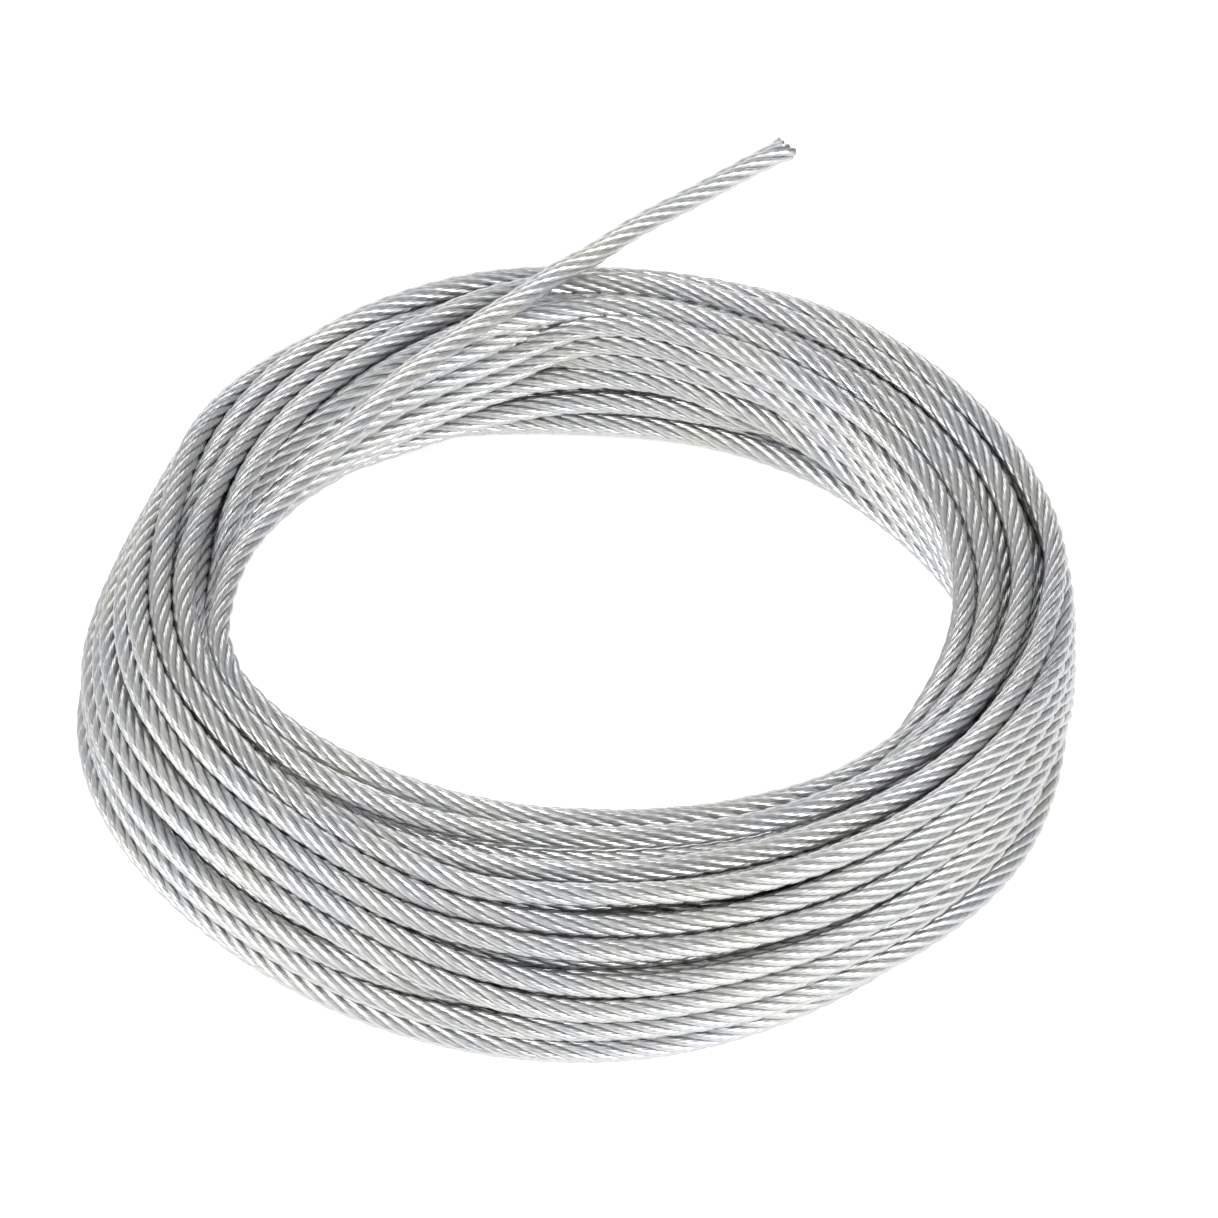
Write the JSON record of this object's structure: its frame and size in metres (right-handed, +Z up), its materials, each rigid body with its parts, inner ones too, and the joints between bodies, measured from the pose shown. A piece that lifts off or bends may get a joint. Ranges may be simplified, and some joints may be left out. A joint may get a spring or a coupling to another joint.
{
  "type": "coil of wire rope",
  "caption": "Loose round coil of bare stranded steel wire rope lying flat, with one cut end rising over the turns and out past the back.",
  "frame": {"origin": "middle of the whole part's footprint, at the level of the floor it lies on", "axes": "+Z up along the coil's axis; +Y towards the back, where the free end springs out; +X to the right"},
  "size_m": [0.1248, 0.1398, 0.0255],
  "materials": {
    "rope": "bright zinc-coated steel wire, six strands laid right-hand, satin sheen with pale crests and grey grooves"
  },
  "bodies": {
    "root": {"wound_turns": "rope", "free_end": "rope"}
  },
  "joints": []
}
